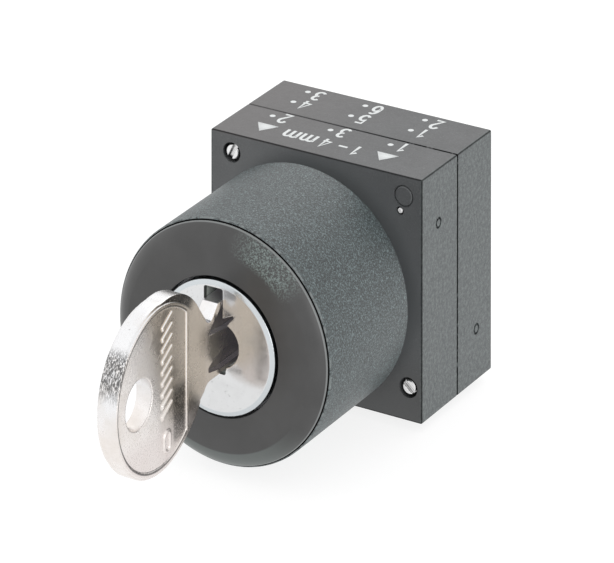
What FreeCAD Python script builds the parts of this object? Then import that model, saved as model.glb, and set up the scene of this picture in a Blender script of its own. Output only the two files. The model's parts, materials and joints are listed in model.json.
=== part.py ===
import FreeCAD, Part
import math
import os

# Key-operated panel switch: a round lock head in front of the panel, and a square
# two-part contact block behind it.
# Frame, in millimetres: origin on the lock axis at the contact block's front face.
# +Z is up, the lock axis runs along Y, and the operator stands on the -Y side.

# Contact block
BLOCK_SIDE = 30.0
FRONT_DEPTH = 9.0
REAR_DEPTH = 8.8
BLOCK_EDGE_R = 0.22
BLOCK_FACE_R = 0.12
SEAM_CHAMFER = 0.16
SEAM_GAP = 0.04
PARTITION_Y = 7.0
CAVITY_R = 11.4
CAVITY_END = 16.0
SPRING_SEAT_R = 2.0
SPRING_SEAT_DEPTH = 0.55

# Screws that join the halves, and moulded marks on the block
SCREW_PLACES = [(-12.0, 12.6), (13.1, -10.9)]
SCREW_SLOT_TURNS = [-63.0, 42.0]
SCREW_HEAD_R = 0.95
SCREW_HEAD_EASE = 0.22
SCREW_RECESS_R = 1.25
SCREW_SLOT_WIDTH = 0.6
SCREW_SHANK_R = 0.65
SCREW_SEAT_Y = 1.3
SCREW_HOLE_END = 15.0
BLIND_PLACES = [(12.4, 12.5), (-12.4, -12.5)]
BLIND_R = 1.32
BLIND_LINE = 0.14
BLIND_DEPTH = 0.24
BLIND_EASE = 0.16
SIDE_MARK_R = 0.7
SIDE_MARK_LINE = 0.28
SIDE_MARK_DEPTH = 0.25
FRONT_MARK = (4.15, 8.3)
REAR_MARK = (13.9, -8.5)
DOWEL_PLACE = (11.9, 10.6)
DOWEL_R = 0.33
DOWEL_EASE = 0.14
DOWEL_WELL_R = 0.52
DOWEL_WELL_DEPTH = 0.6
DOWEL_END = 5.0

# Lock head
PANEL_GAP = 3.0
PANEL_WALL = 3.0
COLLAR_R = 14.75
COLLAR_FRONT = -21.9
COLLAR_BORE_R = 12.5
COLLAR_MOUTH_R = 13.95
GASKET_R = (12.8, 14.2)
GASKET_DEPTH = 1.0
LUG_HALF = 1.5
LUG_Z = (11.2, 12.7)
FACE_Y = -23.4
BEZEL_R = 14.45
BEZEL_FLAT_R = 12.5
BEZEL_BORE_R = 8.4
BEZEL_SKIRT_R = (13.05, 13.9)
BEZEL_BACK = -21.6
NECK_R = 11.0
NECK_END = 6.6
NECK_BORE_R = 9.6
NECK_GROOVE_R = 10.2
NECK_GROOVE = (3.4, 5.6)
DISC_R = 8.1
DISC_FRONT = -23.8
DISC_BACK = -21.65
DISC_BEVEL = (0.55, 0.2)
PLUG_R = 7.5
PLUG_REAR = -3.4
CLIP_GROOVE_R = 6.8
CLIP_GROOVE = (-4.75, -4.05)
TAIL_HALF = 3.0
TAIL_END = 0.4
STATOR_R = 9.3
STATOR_FRONT = -21.15
STATOR_REAR = -4.8
FLANGE_R = 12.9
SHOULDER_Y = -18.9
STOP_Y = -6.5
STOP_GROOVE_FLOOR_R = 6.4
STOP_GROOVE_HALF = 0.85
STOP_PIN_R = 0.75
RUN_GAP = 0.05

# Pin tumblers, below the key
PIN_COUNT = 5
FIRST_PIN_Y = -17.8
PIN_PITCH = 2.2
PIN_R = 0.8
CHAMBER_BOTTOM = -11.7
RIB_HALF = 2.0
RIB_Y = (-19.2, -7.6)
CAP_THICK = 0.43
DRIVER_LENGTH = 1.75
TUMBLER_SPRING_LENGTH = 2.1
BITTING = [0.9, 0.5, 1.2, 0.7, 1.0]

# Key
KEY_THICK = 2.25
KEY_MID_X = -0.3
KEYWAY_SIDE_GAP = 0.115
KEYWAY_TOP = 7.25
BOW_Y = -37.75
BOW_Z = 0.7
BOW_R = 10.1
BLADE_TOP = 5.9
BLADE_BOTTOM = -2.75
BLADE_END = -8.0
KEY_HOLE = (-42.4, 0.65, 2.95)
BOW_EDGE_R = 0.3
RIM_CENTRE = (-38.0, 0.75)
RIM_R = 9.7
RIM_WIDTH = 0.5
RIM_HEIGHT = 0.2
RIM_LINE_Y = -31.5
GROOVE_DEPTH = 0.8
BAR_COUNT = 9
BAR_PITCH = 1.32
BAR_TOP_Z = 8.2
BAR_Y = (-37.5, -34.9)
BAR_WIDTH = 0.5
BAR_SLANT = 30.0
OVAL_PLACE = (-36.2, -6.1)
OVAL_HALF = (0.8, 1.35)
OVAL_LINE = 0.35

# Drive: three ramps on the cam push three plungers backwards
CAM_R = 9.2
CAM_FRONT = -2.9
CAM_LOW = 4.4
CAM_RISE = 2.0
CAM_TURN = 90.0
CAM_SOCKET_END = 0.5
RAMP_IN = 4.7
RAMP_OUT = 8.3
RAMP_LEAD = 8.0
RAMP_TAIL = 8.0
RAMP_ROOT = 3.5
CAM_SCREW_HEAD_R = 2.75
CAM_SCREW_HEAD_Y = (2.4, 4.2)
CAM_SCREW_R = 1.5
CAM_SCREW_TIP = -2.6
PLUNGER_AT = 6.5
PLUNGER_R = 1.45
STUD_R = 0.8
STUD_END = 12.7
TIP_GAP = 0.06
CELL_ANGLES = [90.0, 210.0, 330.0]

# Contacts and terminals, on a hexagon
TERMINAL_AT = 7.53
TERMINAL_COUNT = 6
BRIDGE_Y = 11.3
BRIDGE_THICK = 0.5
BRIDGE_HALF = (4.8, 1.2)
BUTTON_R = 1.0
BUTTON_HEIGHT = 0.3
CLOSED_GAP = 0.02
PAD_HALF = (1.3, 1.4)
PAD_THICK = 0.8
TAB_WIDTH = 2.8
TAB_THICK = 0.8
TAB_LENGTH = 6.2
TAB_HOLE_R = 0.6

# Latch that holds the block on the neck
LATCH_Y = (3.55, 5.45)
LATCH_ARC_R = 10.3
LATCH_EAR_Z = -6.9
LATCH_HALF = 6.8
LATCH_TONGUE = 4.4
LATCH_STEP_Z = -12.4
LATCH_END_Z = -14.9
LATCH_POCKET_Z = -14.2
LATCH_GAP = 0.12
LATCH_SPRING_X = 5.6

HALF = BLOCK_SIDE / 2.0
BLOCK_REAR = FRONT_DEPTH + REAR_DEPTH
PANEL_FACE = -PANEL_GAP
PIN_ROW = [FIRST_PIN_Y + PIN_PITCH * i for i in range(PIN_COUNT)]
PIN_TOP = BLADE_BOTTOM - RUN_GAP
KEY_LEFT = KEY_MID_X - KEY_THICK / 2.0
KEY_RIGHT = KEY_MID_X + KEY_THICK / 2.0
Y_AXIS = FreeCAD.Vector(0, 1, 0)
ORIGIN = FreeCAD.Vector(0, 0, 0)
FULL_TURN = 360.0
OVER = 1.0      # how far a cutting tool reaches past the face it opens
LAP = 0.1       # how deep two shapes overlap before they are joined
TINY = 1e-6


def vec(x, y, z):
    return FreeCAD.Vector(x, y, z)


def line(a, b):
    return Part.makeLine(a, b)


def arc(a, middle, b):
    return Part.Arc(a, middle, b).toShape()


def chain(points):
    """Straight edges through the points, in order."""
    return [line(a, b) for a, b in zip(points, points[1:])]


def box(x0, x1, y0, y1, z0, z1):
    return Part.makeBox(x1 - x0, y1 - y0, z1 - z0, vec(x0, y0, z0))


def rod(radius, start, end):
    """A cylinder from one centre point to another."""
    along = end - start
    return Part.makeCylinder(radius, along.Length, start, along)


def rod_y(radius, y0, y1, x=0.0, z=0.0):
    return rod(radius, vec(x, y0, z), vec(x, y1, z))


def rod_x(radius, x0, x1, y, z):
    return rod(radius, vec(x0, y, z), vec(x1, y, z))


def sheet(points):
    return Part.Face(Part.makePolygon(points + [points[0]]))


def prism(points, sweep):
    return sheet(points).extrude(sweep)


def solid_of_edges(edges, sweep):
    """A prism of the closed outline along the sweep vector. The edges follow one another."""
    return Part.Face(Part.Wire(edges)).extrude(sweep)


def turned(outline):
    """A solid of revolution about the lock axis, from (radius, y) corners."""
    return sheet([vec(r, y, 0) for r, y in outline]).revolve(ORIGIN, Y_AXIS, FULL_TURN)


def ring(r_in, r_out, y0, y1):
    return turned([(r_in, y0), (r_out, y0), (r_out, y1), (r_in, y1)])


def turn(shape, degrees):
    """A copy turned about the lock axis, counter-clockwise as the operator sees it."""
    copy = shape.copy()
    copy.rotate(ORIGIN, Y_AXIS, -degrees)
    return copy


def in_each_cell(shape):
    """Copies of a shape made in the top cell, one for each cell."""
    return [turn(shape, angle - CELL_ANGLES[0]) for angle in CELL_ANGLES]


def cut_all(shape, tools):
    for tool in tools:
        shape = shape.cut(tool)
    return shape.removeSplitter()


def fuse_all(shapes):
    whole = shapes[0]
    for shape in shapes[1:]:
        whole = whole.fuse(shape)
    return whole.removeSplitter()


def coil(mean_r, wire_r, length, turns):
    """A compression spring standing on z = 0, with its axis along Z."""
    wire_flats = 12
    rise = length - 2.0 * wire_r
    path = Part.Wire(Part.makeHelix(rise / turns, rise, mean_r))
    corners = []
    for i in range(wire_flats):
        angle = 2.0 * math.pi * i / wire_flats
        corners.append(vec(mean_r + wire_r * math.cos(angle), 0, wire_r * math.sin(angle)))
    section = Part.makePolygon(corners + [corners[0]])
    spring = path.makePipeShell([section], True, True)
    spring.translate(vec(0, 0, wire_r))
    return spring


def save(node, shapes):
    """Write one node: a single solid, or a group of separate identical ones."""
    parts = shapes if isinstance(shapes, list) else [shapes]
    solids = [solid for part in parts for solid in part.Solids]
    shape = solids[0] if len(solids) == 1 else Part.Compound(solids)
    shape.exportStep("parts/" + node + ".step")


# ---------------------------------------------------------------- lock head

def lock_collar():
    """The round black body, open at the front, with the panel wall at its rear."""
    front_break, rear_break = 0.25, 0.3
    wall_front = PANEL_FACE - PANEL_WALL
    gasket_in, gasket_out = GASKET_R
    body = turned([
        (COLLAR_R - front_break, COLLAR_FRONT), (COLLAR_R, COLLAR_FRONT + front_break),
        (COLLAR_R, PANEL_FACE - rear_break), (COLLAR_R - rear_break, PANEL_FACE),
        (gasket_out, PANEL_FACE), (gasket_out, PANEL_FACE - GASKET_DEPTH),
        (gasket_in, PANEL_FACE - GASKET_DEPTH), (gasket_in, PANEL_FACE),
        (NECK_R + RUN_GAP, PANEL_FACE), (NECK_R + RUN_GAP, wall_front),
        (COLLAR_BORE_R, wall_front), (COLLAR_BORE_R, SHOULDER_Y),
        (COLLAR_MOUTH_R, SHOULDER_Y), (COLLAR_MOUTH_R, COLLAR_FRONT),
    ])
    lug_root, lug_tip = PANEL_FACE - 0.4, -0.4
    lug = box(-LUG_HALF, LUG_HALF, lug_root, lug_tip, *LUG_Z)
    return fuse_all([body, lug])


def front_bezel():
    """The ring around the lock face, with a rounded bevel and a skirt inside."""
    seat = COLLAR_FRONT - RUN_GAP
    skirt_end = SHOULDER_Y - 0.1
    edge_height, bore_break = 0.2, 0.15
    skirt_in, skirt_out = BEZEL_SKIRT_R
    before_bevel = [
        vec(skirt_in, skirt_end, 0), vec(skirt_out, skirt_end, 0), vec(skirt_out, seat, 0),
        vec(BEZEL_R, seat, 0), vec(BEZEL_R, seat - edge_height, 0),
    ]
    after_bevel = [
        vec(BEZEL_FLAT_R, FACE_Y, 0), vec(BEZEL_BORE_R + bore_break, FACE_Y, 0),
        vec(BEZEL_BORE_R, FACE_Y + bore_break, 0), vec(BEZEL_BORE_R, BEZEL_BACK, 0),
        vec(skirt_in, BEZEL_BACK, 0), before_bevel[0],
    ]
    bevel_middle = vec(13.61, -22.93, 0)
    bevel = arc(before_bevel[-1], bevel_middle, after_bevel[0])
    edges = chain(before_bevel) + [bevel] + chain(after_bevel)
    return Part.Face(Part.Wire(edges)).revolve(ORIGIN, Y_AXIS, FULL_TURN)


def bezel_seal():
    inner_r = 8.95
    return ring(inner_r, FLANGE_R, STATOR_FRONT - 0.42, STATOR_FRONT - 0.03)


def panel_gasket():
    inner_r, outer_r = GASKET_R
    front = PANEL_FACE - GASKET_DEPTH + RUN_GAP
    return ring(inner_r + RUN_GAP, outer_r - RUN_GAP, front, PANEL_FACE)


def mounting_sleeve():
    """The neck that passes through the panel hole, with a groove for the latch."""
    flange_back = PANEL_FACE - PANEL_WALL - RUN_GAP
    flange_front = flange_back - 1.25
    flange_r = COLLAR_BORE_R - 0.1
    end_break = 0.3
    groove_start, groove_end = NECK_GROOVE
    return turned([
        (NECK_BORE_R, flange_front), (flange_r, flange_front),
        (flange_r, flange_back), (NECK_R, flange_back), (NECK_R, groove_start),
        (NECK_GROOVE_R, groove_start), (NECK_GROOVE_R, groove_end),
        (NECK_R, groove_end), (NECK_R, NECK_END - end_break),
        (NECK_R - end_break, NECK_END), (NECK_BORE_R, NECK_END),
    ])


def chambers(z_low, z_high):
    """The five pin bores, as tools to cut with."""
    return [rod(PIN_R + RUN_GAP, vec(0, y, z_low), vec(0, y, z_high)) for y in PIN_ROW]


def lock_housing():
    """The fixed barrel the plug turns in, with the pin chambers in a rib below."""
    bore = PLUG_R + RUN_GAP
    flange_back = SHOULDER_Y - RUN_GAP
    barrel = turned([
        (bore, STATOR_FRONT), (FLANGE_R, STATOR_FRONT), (FLANGE_R, flange_back),
        (STATOR_R, flange_back), (STATOR_R, STATOR_REAR), (bore, STATOR_REAR),
    ])
    rib_top = -8.5
    rib = box(-RIB_HALF, RIB_HALF, *RIB_Y, CHAMBER_BOTTOM, rib_top)
    stop_hole = rod_x(STOP_PIN_R + RUN_GAP, bore - OVER, STATOR_R + OVER, STOP_Y, 0)
    bores = chambers(CHAMBER_BOTTOM - OVER, -bore + OVER)
    return cut_all(barrel.fuse(rib), bores + [stop_hole])


def stop_pin():
    groove_gap = 0.15
    return rod_x(STOP_PIN_R, STOP_GROOVE_FLOOR_R + groove_gap, STATOR_R - RUN_GAP, STOP_Y, 0)


def chamber_cap():
    inset = 0.1
    top = CHAMBER_BOTTOM - 0.02
    start, end = RIB_Y[0] + 4.0 * inset, RIB_Y[1] - inset
    return box(-RIB_HALF + inset, RIB_HALF - inset, start, end, top - CAP_THICK, top)


def keyway():
    """The broached keyway with its warding bulge, from the face to its blind end."""
    y = DISC_FRONT - LAP
    left, right = KEY_LEFT - KEYWAY_SIDE_GAP, KEY_RIGHT + KEYWAY_SIDE_GAP
    low = BLADE_BOTTOM - 0.15
    bulge_low, bulge_high = vec(1.45, y, -2.0), vec(1.5, y, 3.05)
    bulge_side = vec(3.2, y, 0.5)
    spike_tip, spike_root_z = vec(2.85, y, 4.6), 3.7
    tail_right = 1.3
    corners = [
        bulge_high, spike_tip, vec(right, y, spike_root_z), vec(right, y, KEYWAY_TOP),
        vec(left, y, KEYWAY_TOP), vec(left, y, low), vec(tail_right, y, low), bulge_low,
    ]
    edges = chain(corners) + [arc(bulge_low, bulge_side, bulge_high)]
    end_gap = 0.35
    return solid_of_edges(edges, vec(0, BLADE_END + end_gap - y, 0))


def stop_groove():
    """The arc in the plug that the stop pin runs in, a quarter turn long."""
    floor_r, half = STOP_GROOVE_FLOOR_R, STOP_GROOVE_HALF
    outer_r = PLUG_R + OVER
    section = sheet([vec(floor_r, STOP_Y - half, 0), vec(outer_r, STOP_Y - half, 0),
                     vec(outer_r, STOP_Y + half, 0), vec(floor_r, STOP_Y + half, 0)])
    sweep = section.revolve(ORIGIN, Y_AXIS, -CAM_TURN)
    end = rod_x(half, floor_r, outer_r, STOP_Y, 0)
    return sweep.fuse(end).fuse(turn(end, CAM_TURN))


def lock_plug():
    """The turning plug: polished face disc, keyway, pin bores and a square tail."""
    bevel_width, bevel_depth = DISC_BEVEL
    clip_start, clip_end = CLIP_GROOVE
    body = turned([
        (0, DISC_FRONT), (DISC_R - bevel_width, DISC_FRONT),
        (DISC_R, DISC_FRONT + bevel_depth), (DISC_R, DISC_BACK), (PLUG_R, DISC_BACK),
        (PLUG_R, clip_start), (CLIP_GROOVE_R, clip_start), (CLIP_GROOVE_R, clip_end),
        (PLUG_R, clip_end), (PLUG_R, PLUG_REAR), (0, PLUG_REAR),
    ])
    tail = box(-TAIL_HALF, TAIL_HALF, PLUG_REAR - LAP, TAIL_END, -TAIL_HALF, TAIL_HALF)
    screw_hole = rod_y(CAM_SCREW_R + RUN_GAP, CAM_SCREW_TIP - 0.2, TAIL_END + OVER)
    bores = chambers(-PLUG_R - OVER, BLADE_BOTTOM + LAP)
    return cut_all(body.fuse(tail), bores + [keyway(), stop_groove(), screw_hole])


def plug_clip():
    """A split retaining ring in the plug's rear groove."""
    outer_r, half_split = 8.6, 1.2
    start, end = CLIP_GROOVE[0] + RUN_GAP, CLIP_GROOVE[1] - 0.07
    clip = ring(CLIP_GROOVE_R + RUN_GAP, outer_r, start, end)
    return clip.cut(box(-half_split, half_split, start - OVER, end + OVER, 0, outer_r + OVER))


def key_pins():
    """Lower pins, standing between the plug's surface and the key's uncut edge."""
    foot = -PLUG_R + 0.06
    tip_height, tip_r = 0.5, 0.3
    shank_top = PIN_TOP - tip_height
    pins = []
    for y in PIN_ROW:
        shank = rod(PIN_R, vec(0, y, foot), vec(0, y, shank_top))
        tip = Part.makeCone(PIN_R, tip_r, tip_height, vec(0, y, shank_top), vec(0, 0, 1))
        pins.append(shank.fuse(tip).removeSplitter())
    return pins


def driver_pins():
    top = -PLUG_R - 0.12
    return [rod(PIN_R, vec(0, y, top - DRIVER_LENGTH), vec(0, y, top)) for y in PIN_ROW]


def pin_springs():
    mean_r, wire_r, turns = 0.55, 0.13, 4
    spring = coil(mean_r, wire_r, TUMBLER_SPRING_LENGTH, turns)
    coils = []
    for y in PIN_ROW:
        one = spring.copy()
        one.translate(vec(0, y, CHAMBER_BOTTOM + 0.02))
        coils.append(one)
    return coils


# ---------------------------------------------------------------- key

def on_bow(x, y, side):
    """The point of the bow's circle at y, on its upper (+1) or lower (-1) side."""
    return vec(x, y, BOW_Z + side * math.sqrt(BOW_R ** 2 - (y - BOW_Y) ** 2))


def key_outline(x):
    """The key's closed outline, as edges in the plane of constant x."""
    upper_bow, lower_bow = on_bow(x, -36.85, 1), on_bow(x, -32.6, -1)
    far = vec(x, BOW_Y - BOW_R, BOW_Z)
    upper_shoulder, upper_waist = vec(x, -28.7, 6.7), vec(x, -27.2, 4.8)
    dip_start = vec(x, -25.8, 4.6)
    lower_shoulder, lower_heel = vec(x, -28.72, -4.95), vec(x, -28.55, -4.15)
    lower_waist, waist_end = vec(x, -27.65, -3.5), vec(x, -26.35, BLADE_BOTTOM)
    blade = [
        dip_start, vec(x, -24.6, BLADE_TOP), vec(x, BLADE_END - 1.6, BLADE_TOP),
        vec(x, BLADE_END, 1.6), vec(x, BLADE_END, 0.6),
        vec(x, BLADE_END - 1.2, BLADE_BOTTOM), waist_end,
    ]
    edges = chain(blade)
    edges.append(arc(waist_end, vec(x, -27.05, -2.92), lower_waist))
    edges += chain([lower_waist, lower_heel, lower_shoulder])
    edges.append(arc(lower_shoulder, vec(x, -30.45, -6.6), lower_bow))
    edges.append(arc(lower_bow, far, upper_bow))
    edges.append(arc(upper_bow, vec(x, -32.6, 10.05), upper_shoulder))
    edges.append(line(upper_shoulder, upper_waist))
    edges.append(arc(upper_waist, vec(x, -26.5, 4.35), dip_start))
    return edges


def bow_rim():
    """The raised line around the bow: an arc closed by a straight line by the neck."""
    centre_y, centre_z = RIM_CENTRE

    def half_moon(radius, line_y, half_thick):
        disc = rod_x(radius, KEY_MID_X - half_thick, KEY_MID_X + half_thick, centre_y, centre_z)
        reach = 2.0 * BOW_R
        front = box(-reach, reach, centre_y - reach, line_y, -reach, reach)
        return disc.common(front)

    half_thick = KEY_THICK / 2.0 + RIM_HEIGHT
    outer = half_moon(RIM_R, RIM_LINE_Y, half_thick)
    inner = half_moon(RIM_R - RIM_WIDTH, RIM_LINE_Y - RIM_WIDTH, half_thick + OVER)
    return outer.cut(inner)


def grip_bars():
    """A plain column of slanted raised bars on both sides of the bow."""
    half_thick = KEY_THICK / 2.0 + RIM_HEIGHT
    y0, y1 = BAR_Y
    bars = []
    for i in range(BAR_COUNT):
        z = BAR_TOP_Z - BAR_PITCH * i
        bar = box(KEY_MID_X - half_thick, KEY_MID_X + half_thick, y0, y1,
                  z - BAR_WIDTH / 2.0, z + BAR_WIDTH / 2.0)
        bar.rotate(vec(0, (y0 + y1) / 2.0, z), vec(1, 0, 0), BAR_SLANT)
        bars.append(bar)
    return bars


def long_oval(half_width, half_height, half_thick):
    """A slot-shaped plate, upright in the key's plane."""
    y, z = OVAL_PLACE
    straight = half_height - half_width
    x0, x1 = KEY_MID_X - half_thick, KEY_MID_X + half_thick
    middle = box(x0, x1, y - half_width, y + half_width, z - straight, z + straight)
    ends = [rod_x(half_width, x0, x1, y, z + side * straight) for side in (-1, 1)]
    return fuse_all([middle] + ends)


def oval_ring():
    """A small raised ring below the bars, on both sides of the bow."""
    half_width, half_height = OVAL_HALF
    half_thick = KEY_THICK / 2.0 + RIM_HEIGHT
    hole = long_oval(half_width - OVAL_LINE, half_height - OVAL_LINE, half_thick + OVER)
    return long_oval(half_width, half_height, half_thick).cut(hole)


def upper_groove():
    """The blade's upper groove on the +X side. It runs out to a point by the shoulder."""
    x = KEY_RIGHT - GROOVE_DEPTH
    end = BLADE_END + OVER
    tip, root = vec(x, -26.8, 2.85), vec(x, -23.5, 5.45)
    floor_z = 2.25
    points = [tip, root, vec(x, end, root.z), vec(x, end, floor_z), vec(x, -22.5, floor_z)]
    return prism(points, vec(GROOVE_DEPTH + OVER, 0, 0))


def lower_groove():
    """The lower groove on the +X side, with a leaf-shaped run-out."""
    x = KEY_RIGHT - GROOVE_DEPTH
    end = BLADE_END + OVER
    upper_z, lower_z = 0.0, -2.1
    upper_start, lower_start = vec(x, -22.3, upper_z), vec(x, -24.0, lower_z)
    nose_high, nose_low = vec(x, -26.55, -1.05), vec(x, -26.4, -1.7)
    edges = chain([lower_start, vec(x, end, lower_z), vec(x, end, upper_z), upper_start])
    edges.append(arc(upper_start, vec(x, -24.7, -0.35), nose_high))
    edges.append(arc(nose_high, vec(x, -26.72, -1.4), nose_low))
    edges.append(line(nose_low, lower_start))
    return solid_of_edges(edges, vec(GROOVE_DEPTH + OVER, 0, 0))


def left_groove():
    z0, z1 = 0.4, 2.2
    run_out = -26.0
    return box(KEY_LEFT - OVER, KEY_LEFT + GROOVE_DEPTH / 2.0, run_out, BLADE_END + OVER, z0, z1)


def bitting_cuts():
    """One V notch with a flat root for each pin, in the blade's lower edge."""
    half_root, start = 0.35, 0.5
    low = BLADE_BOTTOM - start
    cuts = []
    for y, depth in zip(PIN_ROW, BITTING):
        high = BLADE_BOTTOM + depth
        reach = half_root + high - low
        points = [vec(-HALF, y - reach, low), vec(-HALF, y - half_root, high),
                  vec(-HALF, y + half_root, high), vec(-HALF, y + reach, low)]
        cuts.append(prism(points, vec(BLOCK_SIDE, 0, 0)))
    return cuts


def key():
    plate = solid_of_edges(key_outline(KEY_LEFT), vec(KEY_THICK, 0, 0))
    round_edges = [edge for edge in plate.Edges
                   if edge.BoundBox.XLength < TINY and edge.BoundBox.YMax < -32.5]
    plate = plate.makeFillet(BOW_EDGE_R, round_edges)
    hole_y, hole_z, hole_r = KEY_HOLE
    hole = rod_x(hole_r, KEY_LEFT - OVER, KEY_RIGHT + OVER, hole_y, hole_z)
    whole = fuse_all([plate, bow_rim(), oval_ring()] + grip_bars())
    return cut_all(whole, [hole, upper_groove(), lower_groove(), left_groove()] + bitting_cuts())


# ---------------------------------------------------------------- drive

def ramp():
    """The screw-shaped ramp that lifts the plunger in the first cell as the cam turns."""
    rise_per_degree = CAM_RISE / CAM_TURN
    height = rise_per_degree * (RAMP_LEAD + CAM_TURN + RAMP_TAIL)
    start_top = CAM_LOW - rise_per_degree * RAMP_LEAD
    path = Part.Wire(Part.makeHelix(rise_per_degree * FULL_TURN, height, RAMP_OUT))
    section = Part.makePolygon([
        vec(RAMP_IN, 0, -RAMP_ROOT), vec(RAMP_OUT, 0, -RAMP_ROOT), vec(RAMP_OUT, 0, 0),
        vec(RAMP_IN, 0, 0), vec(RAMP_IN, 0, -RAMP_ROOT),
    ])
    screw = path.makePipeShell([Part.Wire(section)], True, True)
    screw = screw.mirror(ORIGIN, Y_AXIS)
    screw.rotate(ORIGIN, vec(1, 0, 0), -90.0)
    screw.translate(vec(0, start_top, 0))
    return turn(screw, CELL_ANGLES[0] - RAMP_LEAD)


def drive_cam():
    """The face cam on the plug's square tail."""
    whole = rod_y(CAM_R, CAM_FRONT, CAM_LOW)
    for one in in_each_cell(ramp()):
        whole = whole.fuse(one)
    half = TAIL_HALF + RUN_GAP
    socket = box(-half, half, CAM_FRONT - OVER, CAM_SOCKET_END, -half, half)
    screw_hole = rod_y(CAM_SCREW_R + 0.1, 0.0, CAM_LOW + OVER)
    screw_well = rod_y(CAM_SCREW_HEAD_R + 0.15, CAM_SCREW_HEAD_Y[0], CAM_LOW + 4.0)
    return cut_all(whole, [socket, screw_hole, screw_well])


def cam_screw():
    head_start, head_end = CAM_SCREW_HEAD_Y
    head = rod_y(CAM_SCREW_HEAD_R, head_start, head_end)
    shank = rod_y(CAM_SCREW_R, CAM_SCREW_TIP, head_start + LAP)
    half_slot, slot_depth = 0.35, 0.7
    reach = CAM_SCREW_HEAD_R + OVER
    slot = box(-reach, reach, head_end - slot_depth, head_end + OVER, -half_slot, half_slot)
    return cut_all(head.fuse(shank), [slot])


# ---------------------------------------------------------------- contacts

def plunger():
    """A round push rod in the top cell, with a domed tip and a shoulder for its bridge."""
    dome_y = CAM_LOW + TIP_GAP + PLUNGER_R
    shoulder_r, shoulder_y = 2.0, BRIDGE_Y - 0.7
    dome = Part.makeSphere(PLUNGER_R, vec(0, dome_y, PLUNGER_AT))
    stem = rod_y(PLUNGER_R, dome_y, shoulder_y + LAP, 0, PLUNGER_AT)
    shoulder = rod_y(shoulder_r, shoulder_y, BRIDGE_Y, 0, PLUNGER_AT)
    stud = rod_y(STUD_R, BRIDGE_Y - LAP, STUD_END, 0, PLUNGER_AT)
    return fuse_all([dome, stem, shoulder, stud])


def button_places():
    """Where a bridge in the top cell meets its two fixed contacts, as (x, z)."""
    half_step = FULL_TURN / TERMINAL_COUNT / 2.0
    angles = [CELL_ANGLES[0] - half_step, CELL_ANGLES[0] + half_step]
    return [(TERMINAL_AT * math.cos(math.radians(a)),
             TERMINAL_AT * math.sin(math.radians(a))) for a in angles]


def contact_bridge():
    """The moving bar that joins two fixed contacts, with a button at each end."""
    half_length, half_width = BRIDGE_HALF
    corner_r = 0.6
    front, back = BRIDGE_Y + 0.02, BRIDGE_Y + BRIDGE_THICK
    bar = box(-half_length, half_length, front, back,
              PLUNGER_AT - half_width, PLUNGER_AT + half_width)
    through = [e for e in bar.Edges if abs(e.BoundBox.YLength - (back - front)) < TINY]
    bar = bar.makeFillet(corner_r, through)
    buttons = [rod_y(BUTTON_R, back - LAP, back + BUTTON_HEIGHT, x, z)
               for x, z in button_places()]
    hole = rod_y(STUD_R + RUN_GAP, BRIDGE_Y - OVER, back + OVER, 0, PLUNGER_AT)
    return fuse_all([bar] + buttons).cut(hole)


def return_spring():
    mean_r, wire_r, turns = 1.35, 0.2, 4
    start = BRIDGE_Y + BRIDGE_THICK + 0.03
    spring = coil(mean_r, wire_r, CAVITY_END + SPRING_SEAT_DEPTH - 0.05 - start, turns)
    spring.rotate(ORIGIN, vec(1, 0, 0), -90.0)
    spring.translate(vec(0, start, PLUNGER_AT))
    return spring


def terminal():
    """A fixed contact on the +X side, with a flat blade through the rear wall."""
    front = BRIDGE_Y + BRIDGE_THICK + BUTTON_HEIGHT + CAM_RISE + CLOSED_GAP
    pad_start = front + BUTTON_HEIGHT + 0.2
    blade_start = pad_start + PAD_THICK / 2.0
    half_long, half_high = PAD_HALF
    button = rod_y(BUTTON_R, front, pad_start + LAP, TERMINAL_AT, 0)
    pad = box(TERMINAL_AT - half_long, TERMINAL_AT + half_long,
              pad_start, pad_start + PAD_THICK, -half_high, half_high)
    half_width, taper_length, taper = TAB_WIDTH / 2.0, 0.8, 0.7
    tip = BLOCK_REAR + TAB_LENGTH
    x = TERMINAL_AT - TAB_THICK / 2.0
    outline = [vec(x, blade_start, -half_width), vec(x, tip - taper_length, -half_width),
               vec(x, tip, -half_width + taper), vec(x, tip, half_width - taper),
               vec(x, tip - taper_length, half_width), vec(x, blade_start, half_width)]
    blade = prism(outline, vec(TAB_THICK, 0, 0))
    hole_from_tip = 2.6
    hole = rod_x(TAB_HOLE_R, 0, HALF, tip - hole_from_tip, 0)
    return fuse_all([button, pad, blade]).cut(hole)


# ---------------------------------------------------------------- contact block

def flat_edges(shape, y):
    """The edges of a shape that lie in the plane of constant y."""
    return [e for e in shape.Edges
            if abs(e.BoundBox.Center.y - y) < TINY and e.BoundBox.YLength < TINY]


def block_half(y0, y1, outer_y):
    """One square half, rounded at its outer face and chamfered at the seam."""
    seam_y = y1 if outer_y == y0 else y0
    half = box(-HALF, HALF, y0, y1, -HALF, HALF)
    along = [e for e in half.Edges if abs(e.BoundBox.YLength - (y1 - y0)) < TINY]
    half = half.makeFillet(BLOCK_EDGE_R, along)
    half = half.makeFillet(BLOCK_FACE_R, flat_edges(half, outer_y))
    return half.makeChamfer(SEAM_CHAMFER, flat_edges(half, seam_y))


def side_marks(place):
    """A shallow moulded ring on the +X side and its twin on the -X side."""
    y, z = place
    marks = []
    for side in (-1, 1):
        floor_x, out_x = side * (HALF - SIDE_MARK_DEPTH), side * (HALF + OVER)
        outer = rod_x(SIDE_MARK_R, floor_x, out_x, y, z)
        inner = rod_x(SIDE_MARK_R - SIDE_MARK_LINE, floor_x - side, out_x + side, y, z)
        marks.append(outer.cut(inner))
    return marks


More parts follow.
